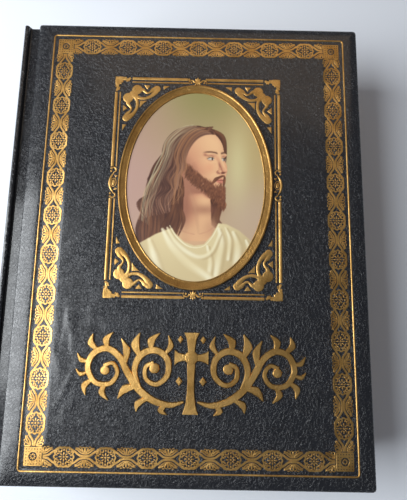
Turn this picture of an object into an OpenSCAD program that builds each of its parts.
// Large family Bible: case binding with padded leatherette covers, a rounded spine
// and gilt work on the front cover. The book lies on its back cover.
// +X points to the fore-edge, +Y to the head, +Z up through the front cover.
// The origin is under the middle of the book, on the surface it lies on.

/* [Book] */
// Width from the back of the spine to the fore-edge of the covers
book_width = 232; // [190:1:290]
// Height of the covers from tail to head
book_height = 292; // [240:1:360]
// Thickness of the closed book, leather to leather
book_thickness = 60; // [48:1:75]

/* [Covers] */
// Thickness of the grey board in each cover
board_thickness = 2.4; // [1.8:0.1:3]
// Thickness of the foam padding over each board
padding_thickness = 2.1; // [1.2:0.1:3]
// Thickness of the leatherette
skin_thickness = 0.7; // [0.5:0.02:0.9]
// Thickness of an endpaper leaf
paper_thickness = 0.3; // [0.2:0.01:0.4]
// How far the covers reach past the page edges
cover_overhang = 4; // [2.5:0.1:6]
// Corner radius of the covers
corner_radius = 4; // [2:0.1:8]
// Width of the rolled edge of the padding
edge_roll = 5; // [3:0.1:8]
// Width of the leatherette turned in over each board
turn_in = 16; // [10:1:24]
// Margin of board left bare around each pastedown
pastedown_margin = 4; // [2:0.5:8]

/* [Spine and joints] */
// Distance from the hinge line to the cover, across the groove
groove_width = 7; // [5.8:0.1:9]
// How far the back of the spine bulges past its shoulders
spine_bulge = 5.6; // [4:0.1:7]
// Distance from the hinge line to the outside of the spine's shoulder
shoulder_reach = 3.4; // [2.8:0.1:4.2]
// How far the shoulders lie below the cover's face
shoulder_drop = 2.1; // [1.5:0.1:2.6]
// Thickness of the card inside the spine
inlay_thickness = 0.8; // [0.5:0.1:1.2]
// Hollow between the spine and the book's back
hollow_gap = 1; // [0.9:0.05:2]
// Thickness of the paper lining on the book's back
lining_thickness = 0.3; // [0.2:0.02:0.5]
// Thickness of the gauze and glue on the section folds
mull_thickness = 0.7; // [0.5:0.05:1]
// Height of the part of the book's back that the head and tail bands cover
band_height = 12; // [8:1:18]
// Radius of the head and tail bands' beads
bead_radius = 1.2; // [0.8:0.1:1.6]
// Number of sewing tapes
tape_count = 4; // [3:1:6]
// Width of a sewing tape
tape_width = 13; // [8:1:18]
// Thickness of a sewing tape
tape_thickness = 0.4; // [0.2:0.02:0.48]

/* [Pages] */
// Thickness of the first leaves, which turn over with the front cover
front_leaves_thickness = 2.2; // [1.5:0.1:3]
// Thickness of one folded section
section_thickness = 1.1; // [0.9:0.05:1.6]

/* [Gilt border] */
// Margin between the spine edge of the cover and the outer rule
rule_margin_spine = 10.9; // [8:0.1:14]
// Margin between the fore-edge of the cover and the outer rule
rule_margin_fore = 9.3; // [7:0.1:14]
// Margin between the head or the tail of the cover and the outer rule
rule_margin_ends = 8; // [7:0.1:14]
// Width of the outer rule
rule_width = 1.2; // [0.6:0.1:2]
// Gap between the outer rule and the border band
band_gap = 1.7; // [1:0.1:3]
// Width of the border band
band_width = 11.4; // [9:0.1:14]
// Length of one medallion with its crosslet
band_pitch = 23.6; // [20:0.1:30]
// Height of the foil over the leather
foil_height = 0.3; // [0.15:0.01:0.5]

/* [Picture] */
// Height of the picture's centre over the middle of the cover
picture_rise = 34.5; // [20:0.5:45]
// Width of the oval print
print_width = 87.4; // [70:0.1:100]
// Height of the oval print
print_height = 124.4; // [100:0.1:150]
// Width of the oval frame's rim
rim_width = 5.6; // [4:0.1:7]
// Height of the oval frame's rim over the leather
rim_height = 1.6; // [1:0.1:2.4]
// Gap between the oval frame and the square frame, at the sides and at the ends
frame_gap = 5.3; // [4:0.1:8]
// Width of the square frame's double bars
bar_width = 4.2; // [3:0.1:6]

/* [Lower ornament] */
// Depth of the lower ornament's centre under the middle of the cover
ornament_drop = 78; // [60:0.5:90]
// Width of the lower ornament
ornament_width = 136; // [110:1:160]
// Height of the lower ornament's cross
cross_height = 44; // [36:1:52]
// Height of the lower ornament over the leather
ornament_height = 0.8; // [0.4:0.05:1.2]

/* [Hidden] */
$fn = 48;

// Clearance between leaves that turn apart
leaf_gap = 0.1;
// Clearance between the fixed and the turning part of a piece that bends
bend_gap = 0.4;
// Width of the dark lines between two pieces of foil
foil_gap = 0.7;
// Air between two sections of the text
section_gap = 0.03;
// Film of glue between a curved piece and what it is stuck to
glue_gap = 0.06;
// Overlap that makes two shapes of one piece a single solid
weld = 0.02;
leather = [0.055, 0.057, 0.065];
gold = [0.83, 0.6, 0.2];
page_gold = [0.78, 0.6, 0.28];
paper = [0.92, 0.89, 0.8];

// Covers
cover_thickness = board_thickness + padding_thickness + 2 * skin_thickness + paper_thickness;
fore_x = book_width / 2;
hinge_x = -book_width / 2 + spine_bulge + shoulder_reach;
cover_x = hinge_x + groove_width;
half_height = book_height / 2;
cover_inner_z = book_thickness - cover_thickness;
board_z = cover_inner_z + paper_thickness + skin_thickness;
padding_z = board_z + board_thickness;
// How far the padding falls away at its rolled edges
edge_drop = padding_thickness * 0.8;

// Where the leather, the flyleaves and the first leaves bend, right of the hinge line
skin_bend_x = hinge_x + 0.6 * groove_width;
leaf_bend_x = hinge_x + 0.9 * groove_width;

// Spine: arcs about one centre line, from the leather in to the section folds
mid_z = book_thickness / 2;
half_chord = mid_z - shoulder_drop;
spine_radius = (half_chord * half_chord + spine_bulge * spine_bulge) / (2 * spine_bulge);
spine_centre_x = -book_width / 2 + spine_radius;
// Bends of the spine leather over the shoulder and down into the groove
shoulder_bend = 1.3;
groove_fillet = 1.2;
inlay_radius = spine_radius - skin_thickness - glue_gap;
hollow_radius = inlay_radius - inlay_thickness;
lining_radius = hollow_radius - hollow_gap;
mull_radius = lining_radius - lining_thickness;
fold_radius = mull_radius - mull_thickness;

// Reach of the card inside the spine, short of the shoulders' bends
inlay_reach = half_chord - 1.5;

// Pages
page_half_height = half_height - cover_overhang;
mull_half_height = page_half_height - band_height;
flyleaf_z = cover_inner_z - leaf_gap - paper_thickness;
front_leaves_z = flyleaf_z - leaf_gap - front_leaves_thickness;
text_z = cover_thickness + paper_thickness + 2 * leaf_gap;
text_thickness = front_leaves_z - text_z;
section_count = round(text_thickness / section_thickness);
fitted_section = text_thickness / section_count;
rear_sections = floor(section_count / 3);
front_sections = floor(2 * section_count / 3);
fold_reach = mid_z - text_z;
page_fore_x = fore_x - cover_overhang;
page_width = page_fore_x - fold_x(fold_reach, 0);

// Gilt work, laid out about one vertical line on the front cover
rule_x = cover_x + rule_margin_spine;
rule_length_x = fore_x - rule_margin_fore - rule_x;
rule_length_y = book_height - 2 * rule_margin_ends;
design_x = rule_x + rule_length_x / 2;
band_inset = rule_width + band_gap;
band_length_x = rule_length_x - 2 * band_inset;
band_length_y = rule_length_y - 2 * band_inset;
ring_width = print_width + 2 * rim_width;
ring_height = print_height + 2 * rim_width;
frame_width = ring_width + 2 * frame_gap;
frame_height = ring_height + 2 * frame_gap;

// ---- Lines and outlines ----

// Place of a section fold that is at a height s over the book's middle, at a depth inside the fold line
function fold_x(s, depth) = spine_centre_x - sqrt(pow(fold_radius - depth, 2) - s * s);

// Points on an arc about a centre; first = 1 leaves out the point it shares with the line before it
function arc_points(centre, r, from, to, steps, first = 0) =
    [for (i = [first:steps], a = from + (to - from) * i / steps) centre + r * [cos(a), sin(a)]];

function ellipse_points(a, b, steps) =
    [for (i = [0:steps - 1]) [a * cos(360 * i / steps), b * sin(360 * i / steps)]];

function reversed(list) = [for (i = [len(list) - 1:-1:0]) list[i]];

// Unit vector square to the line through a point's two neighbours
function side_vector(line, i) =
    let (step = line[min(i + 1, len(line) - 1)] - line[max(i - 1, 0)])
    [-step[1], step[0]] / norm(step);

function beside(line, offset) = [for (i = [0:len(line) - 1]) line[i] + offset * side_vector(line, i)];

// A strip of even thickness along a line
module strip(line, thickness) {
    polygon(concat(beside(line, thickness / 2), reversed(beside(line, -thickness / 2))));
}

// Turns an outline drawn in X and Z into a solid along Y, from one height to another
module along_y(from, to) {
    translate([0, to, 0]) rotate([90, 0, 0]) linear_extrude(to - from) children();
}

// Part of a round shell about the spine's centre line, between two radii and over a stretch of Y
module spine_shell(inner, outer, from, to, reach) {
    along_y(from, to) intersection() {
        translate([spine_centre_x, mid_z]) difference() {
            circle(outer, $fn = 180);
            circle(inner, $fn = 180);
        }
        translate([-book_width, mid_z - reach]) square([book_width / 2 + book_width / 3, 2 * reach]);
    }
}

// Moves a piece of the front half to the back half
module to_back() {
    translate([0, 0, book_thickness]) mirror([0, 0, 1]) children();
}

// Rectangle with round corners, as crossed bars and corner circles
module rounded_rect(x0, x1, half_y, r) {
    translate([x0 + r, -half_y]) square([x1 - x0 - 2 * r, 2 * half_y]);
    translate([x0, -half_y + r]) square([x1 - x0, 2 * half_y - 2 * r]);
    for (x = [x0 + r, x1 - r], y = [-half_y + r, half_y - r]) translate([x, y]) circle(r);
}

// Outline of a slab whose upper edges roll down by drop over a width of roll
function rolled_outline(x0, x1, z0, z1, roll, drop) = concat(
    [[x0, z0], [x1, z0]],
    [for (i = [0:6]) [x1 - roll + roll * cos(15 * i), z1 - drop + drop * sin(15 * i)]],
    [for (i = [6:-1:0]) [x0 + roll - roll * cos(15 * i), z1 - drop + drop * sin(15 * i)]]
);

// Slab with round corners and rolled upper edges
module rolled_slab(x0, x1, half_y, z0, z1, drop, r) {
    intersection() {
        translate([0, 0, z0]) linear_extrude(z1 - z0) rounded_rect(x0, x1, half_y, r);
        along_y(-half_y, half_y) polygon(rolled_outline(x0, x1, z0, z1, edge_roll, drop));
        rotate([90, 0, 90]) translate([0, 0, x0])
            linear_extrude(x1 - x0) polygon(rolled_outline(-half_y, half_y, z0, z1, edge_roll, drop));
    }
}

// ---- Covers ----

module plain_board() {
    color("tan") translate([0, 0, board_z]) linear_extrude(board_thickness)
        rounded_rect(cover_x + skin_thickness, fore_x - skin_thickness, half_height - skin_thickness,
            corner_radius - skin_thickness);
}

module plain_padding() {
    color("lightgray") rolled_slab(cover_x + skin_thickness, fore_x - skin_thickness,
        half_height - skin_thickness, padding_z, book_thickness - skin_thickness,
        edge_drop, corner_radius - skin_thickness);
}

// Leatherette over one cover, open inside the turn-ins, with its strip across the groove
module plain_covering() {
    color(leather) {
        difference() {
            rolled_slab(cover_x, fore_x, half_height, cover_inner_z + paper_thickness, book_thickness,
                edge_drop, corner_radius);
            plain_board();
            plain_padding();
            translate([cover_x + turn_in, -half_height + turn_in, cover_inner_z - 1])
                cube([fore_x - cover_x - 2 * turn_in, book_height - 2 * turn_in, cover_thickness / 2]);
        }
        translate([skin_bend_x, -half_height, cover_inner_z + paper_thickness]) {
            cube([cover_x + weld - skin_bend_x, book_height, skin_thickness]);
            for (y = [0, book_height - corner_radius - weld]) translate([0, y, 0])
                cube([cover_x + corner_radius - skin_bend_x, corner_radius + weld, skin_thickness]);
        }
    }
}

// Paper pasted over the turn-ins, thick enough to fill the window between them
module plain_pastedown() {
    half = half_height - pastedown_margin;
    window = [fore_x - cover_x - 2 * turn_in, book_height - 2 * turn_in];
    color(paper) {
        translate([cover_x, -half, cover_inner_z])
            cube([fore_x - pastedown_margin - cover_x, 2 * half, paper_thickness]);
        translate([cover_x + turn_in, -half_height + turn_in, cover_inner_z])
            cube([window[0], window[1], paper_thickness + skin_thickness]);
    }
}

module front_board() { plain_board(); }
module front_padding() { plain_padding(); }
module front_covering() { plain_covering(); }
module front_pastedown() { plain_pastedown(); }
module back_board() { to_back() plain_board(); }
module back_padding() { to_back() plain_padding(); }
module back_covering() { to_back() plain_covering(); }
module back_pastedown() { to_back() plain_pastedown(); }

// ---- Gilt border on the front cover ----

// Foil of a given height on the face of the front cover
module on_cover(height) {
    translate([0, 0, book_thickness]) linear_extrude(height) children();
}

module rect_ring(width, height, line) {
    difference() {
        square([width, height], center = true);
        square([width - 2 * line, height - 2 * line], center = true);
    }
}

module border_rule() {
    color(gold) on_cover(foil_height) translate([design_x, 0])
        rect_ring(rule_length_x, rule_length_y, rule_width);
}

// Repeats its child along the four runs of the border, with the child lying along X.
// A share of 0.5 puts it in the middle of each repeat, and a share of 0 at both ends too.
module along_band(share) {
    inner_x = band_length_x - 2 * band_width;
    inner_y = band_length_y - 2 * band_width;
    for (side = [0:3]) {
        run = side % 2 == 0 ? inner_x : inner_y;
        distance = (side % 2 == 0 ? band_length_y : band_length_x) / 2 - band_width / 2;
        count = floor(run / band_pitch);
        pitch = run / count;
        for (i = [0:count - (share > 0 ? 1 : 0)])
            translate([design_x, 0]) rotate(90 * side) translate([(i + share) * pitch - run / 2, -distance])
                children();
    }
}

// Round medallion: a lobed strap round a rosette
module medallion() {
    r = band_width / 2;
    difference() {
        union() {
            circle(0.88 * r);
            for (a = [0:45:315]) rotate(a) translate([0.82 * r, 0]) circle(0.18 * r, $fn = 24);
        }
        difference() {
            circle(0.7 * r);
            circle(0.5 * r);
            for (a = [0:45:135]) rotate(a) square([1.5 * r, 0.1 * r], center = true);
        }
        for (a = [22.5:45:337.5]) rotate(a) translate([0.32 * r, 0]) circle(0.1 * r, $fn = 16);
    }
}

// Strap that dips to the middle of the band between two medallions, with a fan of leaves in the dip,
// and its mirror image
module crosslet() {
    r = band_width / 2;
    for (s = [0, 1]) mirror([0, s]) {
        intersection() {
            translate([0, r]) difference() {
                circle(1.02 * r);
                circle(0.82 * r);
            }
            translate([-r, -0.05 * r]) square([2 * r, r]);
        }
        for (a = [-50, -25, 0, 25, 50])
            translate([0, r]) rotate(a) translate([0, -0.66 * r]) square([0.14 * r, 0.42 * r], center = true);
        translate([0, 0.84 * r]) circle(0.3 * r, $fn = 24);
    }
}

// The part of a crosslet that a run of the border shows: half of it beside a corner
module band_window() {
    half_x = band_length_x / 2;
    half_y = band_length_y / 2;
    translate([design_x, 0]) difference() {
        square([2 * half_x, 2 * half_y], center = true);
        for (sx = [-1, 1], sy = [-1, 1]) translate([sx * half_x, sy * half_y])
            square(2 * band_width + foil_gap, center = true);
    }
}

// Mirrors a child by signs
module mirrored(sx, sy) {
    mirror([sx < 0 ? 1 : 0, 0]) mirror([0, sy < 0 ? 1 : 0]) children();
}

module border_medallions() {
    color(gold) on_cover(foil_height) along_band(0.5) medallion();
}

module border_crosslets() {
    color(gold) on_cover(foil_height) intersection() {
        along_band(0) crosslet();
        band_window();
    }
}

// Square with a ringed flower
module corner_square() {
    side = band_width - foil_gap;
    petal = side * 0.07;
    difference() {
        square(side, center = true);
        circle(side * 0.27);
    }
    difference() {
        circle(side * 0.2);
        for (a = [0:60:300]) rotate(a) translate([side * 0.11, 0]) circle(petal / 2, $fn = 16);
    }
}

module corner_squares() {
    x = (band_length_x - band_width) / 2;
    y = (band_length_y - band_width) / 2;
    color(gold) on_cover(foil_height)
        for (sx = [-1, 1], sy = [-1, 1]) translate([design_x + sx * x, sy * y]) corner_square();
}

// ---- Square frame and oval frame ----

module inner_frame_bars() {
    corner = bar_width * 2.6;
    boss = bar_width * 1.2;
    line = bar_width * 0.4;
    inner_inset = bar_width * 1.2;
    color(gold) on_cover(foil_height) translate([design_x, picture_rise]) difference() {
        union() {
            rect_ring(frame_width, frame_height, line);
            rect_ring(frame_width - inner_inset, frame_height - inner_inset, line);
        }
        for (sx = [-1, 1], sy = [-1, 1])
            translate([sx * frame_width / 2, sy * frame_height / 2]) square(2 * corner, center = true);
        square([frame_width + 1, boss * 2], center = true);
        square([boss * 2, frame_height + 1], center = true);
    }
}

// Leafy corner, drawn for the upper right
module leaf_corner() {
    w = bar_width;
    translate([-2.5 * w, -w]) square([2.5 * w, w * 0.9]);
    translate([-w, -2.5 * w]) square([w * 0.9, 2.5 * w]);
    translate([-w * 0.8, -w * 0.8]) circle(w * 0.8);
    translate([-w * 2.1, -w * 0.9]) circle(w * 0.5, $fn = 24);
    translate([-w * 0.9, -w * 2.1]) circle(w * 0.5, $fn = 24);
    translate([-w * 1.4, -w * 1.4]) circle(w * 0.5, $fn = 24);
}

module inner_frame_corners() {
    color(gold) on_cover(foil_height) translate([design_x, picture_rise])
        for (sx = [-1, 1], sy = [-1, 1]) mirrored(sx, sy)
            translate([frame_width / 2, frame_height / 2]) leaf_corner();
}

module boss() {
    circle(bar_width * 0.5);
    for (s = [-1, 1]) translate([s * bar_width * 0.6, 0]) circle(bar_width * 0.3, $fn = 24);
}

module inner_frame_bosses() {
    x = (frame_width - bar_width) / 2;
    y = (frame_height - bar_width) / 2;
    color(gold) on_cover(foil_height) translate([design_x, picture_rise]) {
        for (s = [-1, 1]) translate([0, s * y]) boss();
        for (s = [-1, 1]) translate([s * x, 0]) rotate(90) boss();
    }
}

// Curled leaf between the oval and a corner of the square frame, drawn for the upper right
module scroll() {
    w = bar_width;
    difference() {
        circle(1.5 * w);
        circle(1.1 * w);
        translate([-2 * w, -2 * w]) square([1.7 * w, 1.7 * w]);
    }
    difference() {
        circle(0.7 * w);
        circle(0.36 * w);
    }
    translate([0.6 * w, -0.15 * w]) square([0.7 * w, 0.3 * w]);
    for (a = [0, 90]) rotate(a) translate([1.9 * w, -0.6 * w * (1 - a / 45)]) circle(0.55 * w, $fn = 24);
}

module scroll_ornaments() {
    inset = bar_width * 3.6;
    color(gold) on_cover(foil_height) translate([design_x, picture_rise])
        for (sx = [-1, 1], sy = [-1, 1]) mirrored(sx, sy)
            translate([frame_width / 2 - inset, frame_height / 2 - inset]) scroll();
}

// Section of the oval frame's rim: height over the leather against distance out from the print
function rim_profile() = [
    [0, 0], [rim_width, 0], [rim_width, rim_height * 0.55], [rim_width * 0.86, rim_height],
    [rim_width * 0.62, rim_height], [rim_width * 0.5, rim_height * 0.78], [0, rim_height * 0.4]
];

// Sweeps a profile round an ellipse
module oval_sweep(a, b, profile, steps) {
    size = len(profile);
    points = [for (i = [0:steps - 1], p = profile)
        [(a + p[0]) * cos(360 * i / steps), (b + p[0]) * sin(360 * i / steps), p[1]]];
    faces = [for (i = [0:steps - 1], j = [0:size - 1])
        let (next = (i + 1) % steps, up = (j + 1) % size)
        [i * size + j, i * size + up, next * size + up, next * size + j]];
    polyhedron(points, faces, convexity = 4);
}

module portrait_frame() {
    color(gold) translate([design_x, picture_rise, book_thickness])
        oval_sweep(print_width / 2, print_height / 2, rim_profile(), 72);
}

module portrait_print() {
    color("rosybrown") on_cover(foil_height) translate([design_x, picture_rise])
        polygon(ellipse_points(print_width / 2, print_height / 2, 72));
}

// ---- Ornament below the picture ----

// Arm of the cross, from its centre upwards, flaring to its tip
module cross_arm(length) {
    tip = cross_height * 0.11;
    waist = cross_height * 0.045;
    polygon([
        [-waist, 0], [-waist, length * 0.45], [-tip, length],
        [tip, length], [waist, length * 0.45], [waist, 0]
    ]);
}

// Branch of the ornament to the right of the cross: a stem of two curves with curled leaves
module branch() {
    reach = ornament_width / 2;
    r = reach * 0.19;
    line = 1.5;
    strip(arc_points([reach * 0.33, 0], r, 180, 0, 16), line);
    strip(arc_points([reach * 0.33 + 2 * r, 0], r, 180, 360, 16), line);
    for (i = [0:1]) {
        lift = i == 0 ? -1 : 1;
        translate([reach * 0.33 + 2 * r * i, lift * r * 0.12]) difference() {
            circle(r * 0.5);
            circle(r * 0.5 - line);
        }
        translate([reach * 0.33 + 2 * r * i, -lift * r * 0.7]) square([line, r * 0.7], center = true);
    }
    translate([reach - r * 0.36, 0]) rotate(45) square(r * 0.5, center = true);
    for (s = [-1, 1]) translate([reach * 0.33 + r, s * r * 0.42]) circle(r * 0.24);
}

module lower_ornament() {
    color(gold) translate([design_x, -ornament_drop, 0]) on_cover(ornament_height) {
        cross_arm(cross_height * 0.4);
        for (a = [90, 270]) rotate(a) cross_arm(cross_height * 0.32);
        rotate(180) cross_arm(cross_height * 0.6);
        circle(cross_height * 0.085);
        for (s = [0, 1]) mirror([s, 0]) branch();
    }
}

// ---- Pages ----

// A folded section of the text, its fold towards the spine
module section(index) {
    r = (fitted_section - section_gap) / 2;
    s = text_z + (index + 0.5) * fitted_section - mid_z;
    x = fold_x(s, r + glue_gap);
    along_y(-page_half_height, page_half_height) translate([x, mid_z + s]) {
        circle(r, $fn = 24);
        translate([0, -r]) square([page_width - r, 2 * r]);
    }
}

module text_sections_rear() {
    color(page_gold) for (i = [0:rear_sections - 1]) section(i);
}

module text_sections_middle() {
    color(page_gold) for (i = [rear_sections:front_sections - 1]) section(i);
}

module text_sections_front() {
    color(page_gold) for (i = [front_sections:section_count - 1]) section(i);
}

// Fixed inner margin of the first leaves
module front_leaf_folds() {
    r = front_leaves_thickness / 2;
    s = front_leaves_z + r - mid_z;
    x = fold_x(s, r + glue_gap);
    color(paper) along_y(-page_half_height, page_half_height) translate([x, mid_z + s]) {
        circle(r, $fn = 24);
        translate([0, -r]) square([leaf_bend_x - bend_gap - x, 2 * r]);
    }
}

// Width of the text at the fore-edge, at a height over the book's middle
function leaf_fore_x(s) = fold_x(s, 0) + page_width;

module leaf(from_x, z, thickness) {
    end = leaf_fore_x(z + thickness / 2 - mid_z);
    translate([from_x, -page_half_height, z]) cube([end - from_x, 2 * page_half_height, thickness]);
}

module front_leaves() { color(paper) leaf(leaf_bend_x, front_leaves_z, front_leaves_thickness); }
module front_flyleaf() { color(paper) leaf(skin_bend_x, flyleaf_z, paper_thickness); }
module rear_flyleaf() { to_back() front_flyleaf(); }

// Fixed inner margins of the two flyleaves, tipped to the first and last leaves
module endpaper_hinges() {
    from = fold_x(flyleaf_z - mid_z, 0) + paper_thickness;
    width = skin_bend_x - bend_gap - from;
    color(paper) {
        translate([from, -page_half_height, flyleaf_z - leaf_gap])
            cube([width, 2 * page_half_height, paper_thickness + leaf_gap]);
        to_back() translate([from, -page_half_height, flyleaf_z - leaf_gap])
            cube([width, 2 * page_half_height, paper_thickness + leaf_gap]);
    }
}

// ---- Back of the text ----

module tape_bands() {
    spacing = 2 * mull_half_height / tape_count;
    outer = fold_radius + tape_thickness;
    for (i = [0:tape_count - 1]) {
        y = -mull_half_height + (i + 0.5) * spacing;
        spine_shell(fold_radius, outer, y - tape_width / 2, y + tape_width / 2, fold_reach);
    }
}

module sewing_tapes() { color("wheat") tape_bands(); }

module mull() {
    color("gainsboro") difference() {
        spine_shell(fold_radius, mull_radius, -mull_half_height, mull_half_height, fold_reach);
        tape_bands();
    }
}

module spine_lining() {
    color("burlywood")
        spine_shell(mull_radius, lining_radius, -page_half_height, page_half_height, fold_reach);
}

// Band at one end of the book's back: a bead over the folds and a tongue glued down on them
module end_band() {
    bead_y = page_half_height + bead_radius + glue_gap;
    angle = asin(fold_reach / fold_radius);
    color("white") {
        spine_shell(fold_radius, mull_radius, mull_half_height, bead_y, fold_reach);
        translate([spine_centre_x, bead_y, mid_z]) rotate([90, 0, 0]) rotate([0, 0, 180 - angle])
            rotate_extrude(angle = 2 * angle)
                translate([mull_radius - bead_radius - 2 * glue_gap, 0]) circle(bead_radius);
    }
}

module headband() { end_band(); }
module tailband() { mirror([0, 1, 0]) end_band(); }

// ---- Spine ----

module spine_inlay() {
    color("tan") spine_shell(hollow_radius, inlay_radius, -half_height + skin_thickness,
        half_height - skin_thickness, inlay_reach);
}

// Line of the spine leather from the middle of the back over the shoulder and into the groove.
// The spine's arc runs smoothly into the shoulder's bend, whose top is at the shoulder's height.
function shoulder_line() =
    let (
        half_skin = skin_thickness / 2,
        r = spine_radius - half_skin,
        tilt = asin((half_chord - half_skin - shoulder_bend) / (r - shoulder_bend)),
        start = [spine_centre_x - r * cos(tilt), mid_z + r * sin(tilt)],
        bend_centre = start + shoulder_bend * [cos(tilt), -sin(tilt)],
        floor_z = cover_inner_z + paper_thickness + half_skin,
        foot_centre = [bend_centre[0] + shoulder_bend + groove_fillet, floor_z + groove_fillet]
    )
    concat(
        arc_points([spine_centre_x, mid_z], r, 180, 180 - tilt, 24),
        arc_points(bend_centre, shoulder_bend, 180 - tilt, 0, 10, 1),
        arc_points(foot_centre, groove_fillet, 180, 270, 6, 1),
        [[skin_bend_x - bend_gap, floor_z]]
    );

// Leather over the spine from groove to groove, turned in at the head and the tail
module spine_covering() {
    turned_radius = hollow_radius - skin_thickness;
    outer = inlay_radius + glue_gap + weld;
    color(leather) {
        along_y(-half_height, half_height) strip(shoulder_line(), skin_thickness);
        to_back() along_y(-half_height, half_height) strip(shoulder_line(), skin_thickness);
        for (s = [0, 1]) mirror([0, s, 0]) {
            spine_shell(turned_radius, hollow_radius, half_height - turn_in, half_height, inlay_reach);
            spine_shell(turned_radius, outer, half_height - skin_thickness, half_height, inlay_reach);
        }
    }
}

front_board();
front_padding();
front_covering();
front_pastedown();
border_rule();
border_medallions();
border_crosslets();
corner_squares();
inner_frame_bars();
inner_frame_corners();
inner_frame_bosses();
scroll_ornaments();
portrait_frame();
portrait_print();
lower_ornament();
front_flyleaf();
front_leaves();
text_sections_front();
text_sections_middle();
text_sections_rear();
front_leaf_folds();
endpaper_hinges();
sewing_tapes();
mull();
spine_lining();
headband();
tailband();
spine_inlay();
spine_covering();
rear_flyleaf();
back_pastedown();
back_board();
back_padding();
back_covering();
